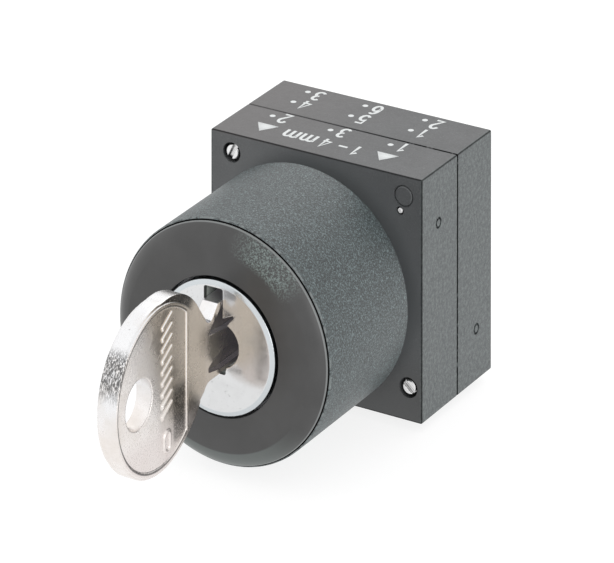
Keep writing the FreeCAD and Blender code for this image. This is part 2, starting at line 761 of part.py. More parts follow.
def blind_marks():
    """A ring groove round a flush disc with an eased edge, at each place."""
    grooves = []
    for x, z in BLIND_PLACES:
        well = rod_y(BLIND_R, -OVER, BLIND_DEPTH, x, z)
        disc = rod_y(BLIND_R - BLIND_LINE, 0.0, BLIND_DEPTH + OVER, x, z)
        disc = disc.makeFillet(BLIND_EASE, flat_edges(disc, 0.0))
        grooves.append(well.cut(disc))
    return grooves


def guide_holes():
    hole = rod_y(PLUNGER_R + RUN_GAP, PARTITION_Y - OVER, FRONT_DEPTH + OVER, 0, PLUNGER_AT)
    return in_each_cell(hole)


def latch_pocket():
    y0, y1 = LATCH_Y[0] - RUN_GAP, LATCH_Y[1] + RUN_GAP
    half = LATCH_HALF + LATCH_GAP
    tongue = LATCH_TONGUE + LATCH_GAP
    wide = box(-half, half, y0, y1, LATCH_POCKET_Z, LATCH_EAR_Z + 0.4)
    narrow = box(-tongue, tongue, y0, y1, -HALF - OVER, LATCH_POCKET_Z + LAP)
    return wide.fuse(narrow)


def screw_seats():
    """The recess and the through hole of each joining screw, in the front half."""
    tools = []
    for x, z in SCREW_PLACES:
        tools.append(rod_y(SCREW_RECESS_R, -OVER, SCREW_SEAT_Y, x, z))
        tools.append(rod_y(SCREW_SHANK_R + RUN_GAP, 0.0, FRONT_DEPTH + OVER, x, z))
    return tools


def holder_front_housing():
    body = block_half(0.0, FRONT_DEPTH - SEAM_GAP / 2.0, 0.0)
    neck_hole = rod_y(NECK_R + 0.2, -OVER, PARTITION_Y)
    dowel_hole = rod_y(DOWEL_R + 0.01, -OVER, DOWEL_END + RUN_GAP, *DOWEL_PLACE)
    dowel_well = rod_y(DOWEL_WELL_R, -OVER, DOWEL_WELL_DEPTH, *DOWEL_PLACE)
    tools = [neck_hole, dowel_hole, dowel_well, latch_pocket()]
    tools += blind_marks() + screw_seats() + guide_holes() + side_marks(FRONT_MARK)
    return cut_all(body, tools)


def tab_slots():
    clearance = 0.1
    half_thick, half_width = TAB_THICK / 2.0 + clearance, TAB_WIDTH / 2.0 + clearance
    slot = box(TERMINAL_AT - half_thick, TERMINAL_AT + half_thick,
               CAVITY_END - OVER, BLOCK_REAR + OVER, -half_width, half_width)
    step = FULL_TURN / TERMINAL_COUNT
    return [turn(slot, step * i) for i in range(TERMINAL_COUNT)]


def holder_rear_housing():
    body = block_half(FRONT_DEPTH + SEAM_GAP / 2.0, BLOCK_REAR, BLOCK_REAR)
    cavity = rod_y(CAVITY_R, FRONT_DEPTH - OVER, CAVITY_END)
    seat = rod_y(SPRING_SEAT_R, CAVITY_END - OVER, CAVITY_END + SPRING_SEAT_DEPTH, 0, PLUNGER_AT)
    holes = [rod_y(SCREW_SHANK_R + RUN_GAP, FRONT_DEPTH - OVER, SCREW_HOLE_END, x, z)
             for x, z in SCREW_PLACES]
    tools = [cavity] + in_each_cell(seat) + holes + tab_slots()
    return cut_all(body, tools + side_marks(REAR_MARK))


def locating_dowel():
    """A small steel pin set in the block's face, for lining the block up."""
    dowel = rod_y(DOWEL_R, 0.0, DOWEL_END, *DOWEL_PLACE)
    return dowel.makeFillet(DOWEL_EASE, flat_edges(dowel, 0.0))


def housing_screws():
    """The two slotted screws that join the halves, driven from the panel side."""
    head_front, half_slot, slot_depth = 0.15, SCREW_SLOT_WIDTH / 2.0, 0.55
    head_back = SCREW_SEAT_Y - 0.02
    reach = 2.0 * SCREW_HEAD_R
    screws = []
    for (x, z), slot_turn in zip(SCREW_PLACES, SCREW_SLOT_TURNS):
        head = rod_y(SCREW_HEAD_R, head_front, head_back, x, z)
        head = head.makeFillet(SCREW_HEAD_EASE, flat_edges(head, head_front))
        shank = rod_y(SCREW_SHANK_R, head_back - LAP, SCREW_HOLE_END - LAP, x, z)
        slot = box(x - reach, x + reach, head_front - OVER, head_front + slot_depth,
                   z - half_slot, z + half_slot)
        slot.rotate(vec(x, 0, z), Y_AXIS, slot_turn)
        screws.append(head.fuse(shank).cut(slot).removeSplitter())
    return screws


def holder_latch():
    """The plate that hooks in the neck's groove, with a driver slot in its tongue."""
    y0, y1 = LATCH_Y
    ears = box(-LATCH_HALF, LATCH_HALF, y0, y1, LATCH_STEP_Z, LATCH_EAR_Z)
    tongue = box(-LATCH_TONGUE, LATCH_TONGUE, y0, y1, LATCH_END_Z, LATCH_STEP_Z + LAP)
    neck = rod_y(LATCH_ARC_R, y0 - OVER, y1 + OVER)
    half_slot, slot_wall, slot_depth = 1.6, 0.5, 0.9
    driver_slot = box(-half_slot, half_slot, y0 + slot_wall, y1 - slot_wall,
                      LATCH_END_Z - OVER, LATCH_END_Z + slot_depth)
    return cut_all(ears.fuse(tongue), [neck, driver_slot])


def latch_springs():
    mean_r, wire_r, turns = 0.65, 0.13, 3
    clearance = 0.03
    middle_y = sum(LATCH_Y) / 2.0
    length = LATCH_STEP_Z - LATCH_POCKET_Z - 2.0 * clearance
    springs = []
    for side in (-1, 1):
        spring = coil(mean_r, wire_r, length, turns)
        spring.translate(vec(side * LATCH_SPRING_X, middle_y, LATCH_POCKET_Z + clearance))
        springs.append(spring)
    return springs


def main():
    os.makedirs("parts", exist_ok=True)
    single = [
        lock_collar, front_bezel, bezel_seal, panel_gasket, mounting_sleeve,
        lock_housing, stop_pin, chamber_cap, lock_plug, plug_clip, key_pins,
        driver_pins, pin_springs, key, drive_cam, cam_screw, holder_front_housing,
        holder_rear_housing, housing_screws, locating_dowel, holder_latch, latch_springs,
    ]
    for make in single:
        save(make.__name__, make())
    for make in (plunger, contact_bridge, return_spring):
        for number, shape in enumerate(in_each_cell(make()), 1):
            save(make.__name__ + "_" + str(number), shape)
    shape = terminal()
    for number in range(1, TERMINAL_COUNT + 1):
        place = FULL_TURN / TERMINAL_COUNT * number
        save("terminal_" + str(number), turn(shape, place))


main()
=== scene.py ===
import json
import math

import bmesh
import bpy
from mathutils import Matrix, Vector


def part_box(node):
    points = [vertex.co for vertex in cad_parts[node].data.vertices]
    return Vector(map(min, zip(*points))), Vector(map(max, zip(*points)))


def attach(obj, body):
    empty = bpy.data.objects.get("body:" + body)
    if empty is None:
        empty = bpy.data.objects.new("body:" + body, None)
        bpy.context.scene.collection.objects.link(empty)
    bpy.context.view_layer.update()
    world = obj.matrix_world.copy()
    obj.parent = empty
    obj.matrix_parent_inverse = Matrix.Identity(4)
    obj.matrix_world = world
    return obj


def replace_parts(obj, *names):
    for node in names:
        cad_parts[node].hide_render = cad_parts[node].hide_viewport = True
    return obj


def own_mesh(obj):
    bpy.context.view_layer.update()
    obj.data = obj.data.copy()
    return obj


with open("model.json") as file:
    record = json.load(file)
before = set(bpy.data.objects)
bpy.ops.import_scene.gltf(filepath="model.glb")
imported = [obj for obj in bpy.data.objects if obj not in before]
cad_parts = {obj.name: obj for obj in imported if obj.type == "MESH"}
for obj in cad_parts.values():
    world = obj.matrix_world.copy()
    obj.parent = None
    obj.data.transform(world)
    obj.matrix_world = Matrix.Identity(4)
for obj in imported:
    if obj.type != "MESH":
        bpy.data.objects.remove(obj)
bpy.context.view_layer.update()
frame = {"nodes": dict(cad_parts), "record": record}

# A key-operated panel switch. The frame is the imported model's, in metres: the lock axis
# runs along Y, the operator stands on the -Y side and +Z is up. Lengths named here are
# in millimetres and are scaled by MM where a mesh is made.

MM = 0.001

# Collar and bezel, turned about the lock axis
COLLAR_R = 14.75
COLLAR_FRONT, COLLAR_BACK = -21.9, -3.0
COLLAR_WALL = 3.0
COLLAR_BORE_R = 12.5
COLLAR_MOUTH_R = 13.95
SHOULDER_Y = -18.9
GASKET_R = (12.8, 14.2)
GASKET_DEPTH = 1.0
NECK_HOLE_R = 11.05
COLLAR_EASE = 0.28
LUG_HALF, LUG_Z, LUG_Y = 1.5, (11.2, 12.7), (-3.4, -0.4)
LUG_EASE = 0.2
FACE_Y = -23.4
BEZEL_R, BEZEL_FLAT_R, BEZEL_BORE_R = 14.45, 12.5, 8.4
BEZEL_SKIRT_R = (13.05, 13.9)
BEZEL_SEAT, BEZEL_SKIRT_END, BEZEL_BACK = -21.95, -19.0, -21.6
BEZEL_CROWN = (13.61, -22.93)
BEZEL_EASE = 0.13

# Block
BLOCK_HALF, BLOCK_REAR, SEAM_Y = 15.0, 17.8, 9.0

# Key: the (Y, Z) centres of the bow and of its raised line, and where the blade begins
BOW_CENTRE = (-37.75, 0.7)
RIM_CENTRE = (-38.0, 0.75)
BLADE_START = (-27.8, -27.2)

# Softened copies of CAD nodes: voxel, smoothing passes, most triangles
KEY_SKIN = (0.09, 4, 180000)
PLUG_SKIN = (0.1, 3, 180000)
SCREW_SKIN = (0.05, 3, 120000)

# Print on the block's top, read from behind: text runs towards -X and its top is -Y
STROKE = 0.43
INK = 0.03
DIGIT = (1.05, 2.5)
LETTER = (1.7, 1.85)
DIGIT_COLUMNS = (8.95, 0.3, -8.1)
DIGIT_ROWS = {8.55: "132", 13.55: "154", 16.85: "263"}
DOT_COLUMNS = (6.5, -2.05, -10.4)
DOT_ROWS = (7.3, 12.45, 16.1)
RANGE_BASE = 4.75
ARROW_TIPS = ((7.6, 2.45), (-9.5, 2.45))

# Camera
CAMERA_PLACE = (0.33021, -0.57134, 0.28829)
CAMERA_PITCH = 0.02338
CAMERA_TURN = 0.55026
CAMERA_SENSOR, CAMERA_LENS = 36.0, 317.35
CAMERA_SHIFT = (0.2152, -3.6204)

# Studio: the floor clears the latch's tab at its lowest; FLOOR_HALF and LAMPS are in metres
FLOOR_HALF = 3.0
FLOOR_Z = -16.2
FLOOR_GLOW = 0.82
LIGHT_FROM = (-0.6, -0.4, 0.8)
WORLD_STRENGTH = (0.85, 1.2)
LAMPS = {
    "back_lamp": ((-0.10, 0.45, 0.45), 0.40, 0.4),
    "side_lamp": ((0.55, -0.25, 0.12), 0.35, 0.7),
}


# ---------------------------------------------------------------- materials

class Finish:
    """A node material. Patterns follow the piece's own coordinates, in millimetres."""

    def __init__(self, name, base, rough, metal=0.0):
        self.material = bpy.data.materials.new(name)
        self.material.use_nodes = True
        self.tree = self.material.node_tree
        self.shader = self.tree.nodes["Principled BSDF"]
        place = self.node("TexCoord").outputs["Object"]
        self.place = self.node("VectorMath", place, operation="SCALE")
        self.place.inputs["Scale"].default_value = 1.0 / MM
        self.place = self.place.outputs[0]
        self.base = base
        self.rough = rough
        self.normal = None
        self.gloss = 0.5
        self.shader.inputs["Metallic"].default_value = metal

    def put(self, socket, value):
        if isinstance(value, bpy.types.NodeSocket):
            self.tree.links.new(value, socket)
        elif socket.type == "RGBA":
            socket.default_value = (*value, 1.0)
        else:
            socket.default_value = value

    def node(self, kind, *values, **settings):
        """A node with its settings, and its first inputs filled in order."""
        made = self.tree.nodes.new("ShaderNode" + kind)
        for name, value in settings.items():
            setattr(made, name, value)
        for socket, value in zip(made.inputs, values):
            self.put(socket, value)
        return made

    def maths(self, operation, a, b=0.0):
        return self.node("Math", a, b, operation=operation).outputs[0]

    def noise(self, cell, detail=2.0, rough=0.5, stretch=(1.0, 1.0, 1.0), shift=0.0):
        """Noise from 0 to 1 whose lumps are about cell millimetres across."""
        at = self.node("VectorMath", self.place, stretch, operation="MULTIPLY")
        moved = self.node("VectorMath", at.outputs[0], (shift, shift, shift), operation="ADD")
        made = self.node("TexNoise")
        self.put(made.inputs["Vector"], moved.outputs[0])
        made.inputs["Scale"].default_value = 1.0 / cell
        made.inputs["Detail"].default_value = detail
        made.inputs["Roughness"].default_value = rough
        return made.outputs["Fac"]

    def step(self, value, low, high, start=0.0, end=1.0):
        """Goes smoothly from start to end as value goes from low to high."""
        made = self.node("MapRange", value, low, high, start, end)
        made.interpolation_type = "SMOOTHSTEP"
        return made.outputs[0]

    def mix(self, share, a, b, blend="MIX"):
        return self.node("MixRGB", share, a, b, blend_type=blend).outputs[0]

    def all_of(self, *shares):
        """The product of several shares."""
        result = shares[0]
        for share in shares[1:]:
            result = self.maths("MULTIPLY", result, share)
        return result

    def near(self, value, middle, half, soft):
        """1 within half of the middle, fading to 0 over soft."""
        away = self.maths("ABSOLUTE", self.maths("SUBTRACT", value, middle))
        return self.step(away, half + soft, half)

    def blacken(self, share):
        """Takes away both colour and shine where share is 1."""
        self.tint(share, (0.004, 0.004, 0.004))
        self.gloss = self.maths("MULTIPLY", self.gloss, self.maths("SUBTRACT", 1.0, share))

    def tint(self, share, colour, blend="MIX"):
        """Lays a colour over the base where share is 1."""
        self.base = self.mix(share, self.base, colour, blend)

    def glow(self, share, colour):
        """Stands in for the light thrown back and forth between close polished walls."""
        self.put(self.shader.inputs["Emission Color"], colour)
        self.put(self.shader.inputs["Emission Strength"], share)

    def axes(self):
        """The X, Y and Z of the place, in millimetres."""
        return self.node("SeparateXYZ", self.place).outputs[:3]

    def facing(self, axis, low=0.6, high=0.9):
        """1 on faces square to an axis, 0 on faces along it; the reverse if high is below low."""
        normal = self.node("NewGeometry").outputs["Normal"]
        part = self.node("SeparateXYZ", normal).outputs[axis]
        return self.step(self.maths("ABSOLUTE", part), low, high)

    def polar(self, across, up):
        """Distance from a centre, and the angle in degrees from the first direction."""
        squares = [self.maths("MULTIPLY", v, v) for v in (across, up)]
        far = self.maths("SQRT", self.maths("ADD", *squares))
        return far, self.maths("DEGREES", self.maths("ARCTAN2", up, across))

    def around(self, centre, y, z):
        """Distance and angle of (y, z) from a centre."""
        across, up = [self.maths("SUBTRACT", v, c) for v, c in zip((y, z), centre)]
        return self.polar(across, up)

    def bump(self, height, distance, strength=1.0):
        made = self.node("Bump")
        self.put(made.inputs["Height"], height)
        made.inputs["Distance"].default_value = distance * MM
        made.inputs["Strength"].default_value = strength
        if self.normal:
            self.put(made.inputs["Normal"], self.normal)
        self.normal = made.outputs["Normal"]

    def edge(self, radius, low=0.02, high=0.2):
        """1 on edges sharper than the radius, 0 on open faces."""
        bevel = self.node("Bevel", samples=6)
        bevel.inputs["Radius"].default_value = radius * MM
        true = self.node("NewGeometry").outputs["Normal"]
        dot = self.node("VectorMath", bevel.outputs[0], true, operation="DOT_PRODUCT")
        return self.step(self.maths("SUBTRACT", 1.0, dot.outputs["Value"]), low, high)

    def hollow(self, reach, low=0.25, high=0.9):
        """1 deep in corners and grooves, 0 on open faces."""
        made = self.node("AmbientOcclusion", samples=8)
        made.inputs["Distance"].default_value = reach * MM
        return self.step(made.outputs["AO"], low, high, 1.0, 0.0)

    def done(self):
        self.put(self.shader.inputs["Base Color"], self.base)
        self.put(self.shader.inputs["Roughness"], self.rough)
        self.put(self.shader.inputs["Specular IOR Level"], self.gloss)
        if self.normal:
            self.put(self.shader.inputs["Normal"], self.normal)
        return self.material


def moulded(name, base, rough, grain, depth, speckle=0.25, gloss=0.75):
    """Moulded plastic: spark-eroded grain, cloudy tone and dark edges."""
    finish = Finish(name, base, rough)
    finish.gloss = gloss
    cloud = finish.noise(6.0, 3.0, 0.6)
    fine = finish.noise(grain, 2.0, 0.6)
    coarse = finish.noise(grain * 3.0, 2.0, 0.5, shift=11.0)
    pale = tuple(c * 1.5 + 0.01 for c in base)
    finish.tint(finish.step(cloud, 0.35, 0.7, 0.0, 0.35), pale)
    finish.tint(finish.step(fine, 0.55, 0.75, 0.0, speckle), tuple(c * 2.2 + 0.02 for c in base))
    finish.tint(finish.step(fine, 0.45, 0.25, 0.0, speckle), tuple(c * 0.35 for c in base))
    worn = finish.maths("MULTIPLY", finish.edge(0.2), finish.step(coarse, 0.25, 0.45))
    finish.tint(finish.maths("MULTIPLY", worn, 0.8), tuple(c * 0.15 for c in base))
    finish.rough = finish.maths("ADD", rough - 0.06, finish.maths("MULTIPLY", coarse, 0.12))
    finish.bump(fine, depth)
    finish.bump(coarse, depth * 0.8)
    return finish


def block_plastic():
    """The block's moulding: dark edges and seam, mottled bloom on its sides, painted light and shade
    on front and top.
    """
    finish = moulded("block_moulding", (0.050, 0.052, 0.054), 0.46, 0.22, 0.02, 0.55)
    x, y, z = finish.axes()
    front = finish.step(y, 0.3, 0.0)
    shade_lift = finish.hollow(8.0, 0.35, 0.95)
    # Painted light: the front face paler where the collar shades it.
    finish.tint(finish.all_of(front, shade_lift), (0.112, 0.12, 0.124))
    # Painted shade: the front face darker towards its bottom.
    finish.tint(finish.all_of(front, finish.step(z, -5.0, -12.0), 0.7), (0.022, 0.022, 0.022))
    # Painted sheen: the top face paler, more so towards -X.
    top = finish.all_of(finish.step(z, 14.6, 14.95), finish.step(x, 8.0, -15.0), 0.6)
    finish.tint(top, (0.092, 0.083, 0.082))
    side = finish.step(finish.maths("ABSOLUTE", x), 14.6, 14.95)
    finish.tint(finish.maths("MULTIPLY", side, 0.5), (0.055, 0.072, 0.075))
    bloom = finish.step(finish.noise(0.5, 4.0, 0.8, shift=31.0), 0.44, 0.62)
    pits = finish.step(finish.noise(0.4, 4.0, 0.8, shift=37.0), 0.48, 0.34)
    finish.tint(finish.all_of(side, bloom, 0.6), (0.15, 0.175, 0.17))
    finish.tint(finish.all_of(side, pits, 0.7), (0.008, 0.010, 0.010))
    patchy = finish.step(finish.noise(1.2, 2.0), 0.3, 0.42)
    faint = finish.maths("MAXIMUM", finish.step(x, -15.0, 12.0, 0.3, 1.0), finish.step(z, 14.9, 14.6))
    finish.blacken(finish.all_of(finish.near(y, SEAM_Y, 0.1, 0.14), patchy, faint))
    finish.blacken(finish.maths("MULTIPLY", block_edges(finish, x, y, z), 0.8))
    return finish


def block_edges(finish, x, y, z):
    """1 on the block's rounded outer edges."""
    ends = [finish.step(finish.maths("ABSOLUTE", v), BLOCK_HALF - 0.24, BLOCK_HALF - 0.06)
            for v in (x, z)]
    faces = finish.maths("MAXIMUM", finish.step(y, 0.22, 0.04),
                         finish.step(y, BLOCK_REAR - 0.22, BLOCK_REAR - 0.04))
    corners = finish.maths("MULTIPLY", *ends)
    rims = finish.maths("MULTIPLY", faces, finish.maths("MAXIMUM", *ends))
    return finish.maths("MAXIMUM", corners, rims)


def collar_plastic():
    """The collar's coarser grain, with pale and dark blue-green specks and a thin painted highlight
    at its front lip.
    """
    finish = moulded("collar_moulding", (0.032, 0.041, 0.043), 0.5, 0.24, 0.045, 0.4)
    specks = finish.noise(0.21, 3.0, 0.8, shift=17.0)
    finish.tint(finish.step(specks, 0.52, 0.62, 0.0, 0.95), (0.15, 0.20, 0.205))
    finish.tint(finish.step(specks, 0.47, 0.36, 0.0, 0.95), (0.002, 0.004, 0.004))
    x, y, z = finish.axes()
    far = finish.polar(x, z)[0]
    patchy = finish.step(finish.noise(0.8, 2.0, shift=5.0), 0.4, 0.6)
    front = finish.step(y, COLLAR_FRONT + 0.3, COLLAR_FRONT + 0.2)
    # Painted highlight: a thin, broken pale line at the collar's front edge.
    finish.tint(finish.all_of(front, patchy, 0.8), (0.16, 0.18, 0.18))
    finish.blacken(finish.all_of(front, finish.step(far, COLLAR_R - 0.1, COLLAR_R - 0.2)))
    return finish


def bezel_plastic():
    """Satin face. Bevel with painted light below, painted glints at the upper right and a pale
    painted rim highlight.
    """
    finish = moulded("bezel_moulding", (0.034, 0.034, 0.034), 0.36, 0.1, 0.003, 0.08, 0.6)
    x, _, z = finish.axes()
    far, angle = finish.polar(x, z)
    bevel = finish.step(far, BEZEL_FLAT_R, BEZEL_FLAT_R + 0.2)
    below = finish.all_of(finish.step(angle, -165.0, -130.0), finish.step(angle, -30.0, -70.0))
    corner = finish.maths("MULTIPLY", finish.step(angle, 35.0, 50.0), finish.step(angle, 85.0, 65.0))
    inner = finish.step(far, BEZEL_FLAT_R - 1.5, BEZEL_FLAT_R - 0.3)
    specks = finish.step(finish.noise(0.22, 3.0, 0.8, shift=13.0), 0.46, 0.6)
    # Painted light: the bevel paler grey-green at the bottom.
    finish.tint(finish.maths("MULTIPLY", bevel, below), (0.085, 0.098, 0.094))
    # Painted highlight: glinting pale specks near the bevel at the upper right.
    glint_specks = finish.maths("MULTIPLY", finish.maths("MULTIPLY", inner, corner), specks)
    finish.tint(glint_specks, (0.16, 0.20, 0.19))
    # Painted highlight: a pale line at the outer rim.
    rim = finish.step(far, BEZEL_R - 0.14, BEZEL_R - 0.06)
    finish.tint(finish.maths("MULTIPLY", rim, 0.8), (0.20, 0.21, 0.21))
    return finish


def metal(name, base, rough, scratch=0.0015, dirt_and_shade=(0.06, 0.05, 0.045), corner_shade=0.75, metal=1.0):
    """Bare or plated metal: brushed scratches, uneven polish, dirty patches and painted shade in its
    corners.
    """
    finish = Finish(name, base, rough, metal)
    cloud = finish.noise(2.5, 3.0, 0.6)
    lines = finish.noise(0.12, 2.0, 0.5, stretch=(1.0, 0.08, 1.0), shift=5.0)
    finish.tint(finish.step(cloud, 0.4, 0.75, 0.0, 0.35), tuple(c * 0.8 for c in base))
    finish.tint(finish.step(finish.noise(0.5, 4.0, 0.7, shift=3.0), 0.6, 0.75, 0.0, 0.3), dirt_and_shade)
    # Painted shade: the metal darkens in its corners and hollows.
    finish.tint(finish.maths("MULTIPLY", finish.hollow(0.5), corner_shade), dirt_and_shade)
    finish.rough = finish.maths("ADD", rough, finish.step(cloud, 0.3, 0.8, -0.04, 0.12))
    finish.bump(lines, scratch)
    return finish


def rubber(name):
    """Dull black seal rubber with a pale bloom."""
    finish = Finish(name, (0.018, 0.018, 0.018), 0.8)
    bloom = finish.noise(1.5, 4.0, 0.65)
    finish.tint(finish.step(bloom, 0.5, 0.8, 0.0, 0.5), (0.06, 0.06, 0.058))
    finish.bump(finish.noise(0.12, 2.0), 0.012)
    return finish


def casting(name):
    """Die-cast zinc: pebbled skin and flow marks."""
    finish = Finish(name, (0.42, 0.42, 0.43), 0.5, metal=0.9)
    flow = finish.noise(3.0, 4.0, 0.6, stretch=(1.0, 0.3, 1.0))
    finish.tint(finish.step(flow, 0.35, 0.7), (0.3, 0.3, 0.32))
    finish.bump(finish.noise(0.35, 3.0), 0.03)
    finish.bump(finish.noise(0.08, 1.0, shift=7.0), 0.006)
    return finish


def key_metal():
    """Worn nickel silver: browner neck, mottled pits, painted reflections on edges and bow, painted
    shade in grooves.
    """
    finish = Finish("key_nickel_silver", (0.84, 0.80, 0.775), 0.24, metal=1.0)
    _, y, z = finish.axes()
    flat = finish.facing("X")
    # The metal's own browner tone towards the neck and top; its paler tone towards the bow's lower
    # left is painted reflection.
    lean = finish.maths("ADD", y, finish.maths("MULTIPLY", z, 0.4))
    finish.tint(finish.all_of(flat, finish.step(lean, -39.5, -34.5)), (0.61, 0.53, 0.44))
    # Painted reflection: a cooler, bluish tone on the key's upper edges.
    upper_edge_reflection = finish.all_of(finish.step(flat, 0.3, 0.0), finish.step(z, -3.0, 3.0))
    finish.tint(upper_edge_reflection, (0.80, 0.80, 0.81))
    cloud = finish.noise(3.5, 3.0, 0.6)
    grain = finish.noise(0.2, 3.0, 0.75, shift=3.0)
    pits = finish.noise(0.35, 4.0, 0.75, shift=9.0)
    finish.tint(finish.step(cloud, 0.4, 0.7, 0.0, 0.3), (0.66, 0.59, 0.52))
    # Painted reflection: the key's faces paler towards the bottom.
    finish.tint(finish.all_of(flat, finish.step(z, -2.5, -5.5), 0.7), (0.74, 0.675, 0.655))
    rubbed = finish.maths("ADD", 0.12, finish.maths("MULTIPLY", flat, 0.53))
    finish.tint(finish.all_of(finish.step(grain, 0.52, 0.72), rubbed), (0.36, 0.32, 0.29))
    finish.tint(finish.step(pits, 0.62, 0.78, 0.0, 0.7), (0.12, 0.10, 0.09))
    # Painted dark reflection: a grainy dark patch on the key's faces near where the bow meets the
    # neck, low down.
    dark_reflection = finish.all_of(flat, finish.near(y, -33.3, 1.0, 0.8), finish.near(z, -3.6, 2.4, 1.6))
    finish.tint(finish.all_of(dark_reflection, finish.step(grain, 0.34, 0.52), 0.75), (0.07, 0.065, 0.06))
    blade = finish.step(y, *BLADE_START)
    hollow_shade = finish.mix(blade, (0.03, 0.028, 0.027), (0.42, 0.385, 0.39))
    # Painted light: the blade glows faintly.
    finish.glow(blade, (0.030, 0.028, 0.031))
    # Painted shade in hollows: near black on the bow, mid grey on the blade.
    deep = finish.hollow(0.3, 0.4, 0.85)
    finish.tint(finish.maths("MULTIPLY", deep, 0.9), hollow_shade)
    dull = finish.all_of(blade, deep)
    finish.put(finish.shader.inputs["Metallic"], finish.maths("SUBTRACT", 1.0, dull))
    # Painted shade: the groove walls on the blade blackened.
    grooves = finish.step(deep, 0.15, 0.4)
    finish.blacken(finish.all_of(blade, grooves, finish.facing("X", 0.96, 0.8), 0.9))
    # Painted shade around the raised line, with dark worn streaks on the left edge.
    finish.tint(finish.maths("MULTIPLY", rim_shade_and_wear(finish, y, z, flat), 0.9), (0.02, 0.02, 0.02))
    finish.rough = finish.maths("ADD", 0.2, finish.step(cloud, 0.3, 0.75, 0.0, 0.16))
    finish.bump(grain, 0.008)
    finish.bump(pits, 0.008)
    return finish


def rim_shade_and_wear(finish, y, z, flat):
    """Painted shade inside the raised line and, mottled, outside it near the top; dark worn streaks
    on the left edge.
    """
    far, angle = finish.around(BOW_CENTRE, y, z)
    ring = finish.step(far, 9.55, 9.75)
    mottle = finish.step(finish.noise(0.3, 4.0, 0.8, shift=21.0), 0.3, 0.46)
    top = finish.all_of(finish.step(angle, 40.0, 52.0), finish.step(angle, 112.0, 92.0))
    top_shade = finish.all_of(top, flat, mottle)
    upright = finish.noise(0.13, 3.0, 0.7, stretch=(1.1, 0.6, 0.16), shift=2.0)
    streaks = finish.step(upright, 0.43, 0.51)
    left = finish.all_of(finish.step(angle, 132.0, 142.0), finish.step(angle, 172.0, 158.0))
    worn = finish.all_of(left, streaks, 0.9)
    inside = finish.around(RIM_CENTRE, y, z)[0]
    bow_side = finish.step(y, -31.9, -32.2)
    # Painted shade: a thin dark line just inside the raised line.
    line = finish.all_of(finish.near(inside, 9.32, 0.05, 0.09), bow_side, flat, 0.8)
    outside = finish.all_of(ring, finish.maths("MAXIMUM", top_shade, worn))
    return finish.maths("MAXIMUM", outside, line)


def plug_metal():
    """Polished nickel face, bluer bevel. Dull grey keyway with painted shade darker in depth and a
    painted glow near its mouth.
    """
    finish = metal("plug_nickel", (0.68, 0.685, 0.69), 0.14, 0.0008, corner_shade=0.0)
    x, y, z = finish.axes()
    far = finish.polar(x, z)[0]
    finish.tint(finish.maths("MULTIPLY", finish.step(far, 7.45, 7.6), 0.7), (0.53, 0.575, 0.60))
    slot = finish.all_of(finish.step(y, -23.75, -23.6), finish.step(far, 7.7, 7.5))
    # Painted shade: the keyway darker with depth.
    deep = finish.step(y, -22.6, -19.5)
    finish.tint(slot, finish.mix(deep, (0.40, 0.43, 0.40), (0.10, 0.11, 0.10)))
    # Painted light: the shallow part of the keyway glows faintly.
    shallow = finish.step(y, -20.5, -22.4)
    lit = finish.all_of(slot, shallow, finish.step(z, 5.5, 4.5, 0.3, 1.0))
    finish.glow(lit, (0.036, 0.040, 0.038))
    mouth = finish.all_of(finish.step(y, -23.2, -23.35), finish.step(far, 7.5, 7.3))
    finish.blacken(finish.all_of(mouth, finish.facing("Y", 0.97, 0.85), 0.9))
    finish.put(finish.shader.inputs["Metallic"], finish.maths("SUBTRACT", 1.0, slot))
    return finish


def ink():
    """White pad-printed ink, slightly broken."""
    finish = Finish("marking_ink", (0.66, 0.68, 0.68), 0.5)
    broken = finish.noise(0.25, 3.0, 0.7)
    finish.tint(finish.step(broken, 0.62, 0.8, 0.0, 0.6), (0.35, 0.36, 0.36))
    finish.bump(broken, 0.01)
    return finish


def make_materials():
    """One material for each of the record's material slots."""
    made = {
        "block_moulding": block_plastic(),
        "collar_moulding": collar_plastic(),
        "bezel_moulding": bezel_plastic(),
        "cam_plastic": moulded("cam_plastic", (0.62, 0.60, 0.53), 0.45, 0.2, 0.008, 0.1),
        "plunger_plastic": moulded("plunger_plastic", (0.55, 0.05, 0.03), 0.4, 0.2, 0.008, 0.1),
        "seal_rubber": rubber("seal_rubber"),
        "zinc_casting": casting("zinc_casting"),
        "plug_nickel": plug_metal(),
        "key_nickel_silver": key_metal(),
        "sleeve_metal": metal("sleeve_metal", (0.56, 0.56, 0.57), 0.35),
        "pin_brass": metal("pin_brass", (0.72, 0.52, 0.22), 0.28),
        "pin_steel": metal("pin_steel", (0.92, 0.92, 0.92), 0.3, corner_shade=0.0, metal=0.35),
        "spring_steel": metal("spring_steel", (0.55, 0.55, 0.56), 0.22),
        "latch_steel": metal("latch_steel", (0.60, 0.60, 0.57), 0.34),
        "screw_steel": metal("screw_steel", (0.78, 0.78, 0.78), 0.2),
        "contact_copper": metal("contact_copper", (0.80, 0.42, 0.27), 0.3),
        "terminal_brass": metal("terminal_brass", (0.78, 0.73, 0.58), 0.3),
    }
    return {slot: finish.done() for slot, finish in made.items()}


# ---------------------------------------------------------------- mesh helpers

def new_piece(name, mesh, material, body):
    """Adds a mesh as a named piece that rides on a body."""
    piece = bpy.data.objects.new(name, mesh)
    bpy.context.scene.collection.objects.link(piece)
    mesh.materials.clear()
    mesh.materials.append(material)
    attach(piece, body)
    return piece


def mesh_of(name, points, faces, smooth=True):
    mesh = bpy.data.meshes.new(name)
    mesh.from_pydata([Vector(p) * MM for p in points], [], faces)
    mesh.update()
    mesh.polygons.foreach_set("use_smooth", [smooth] * len(mesh.polygons))
    return mesh


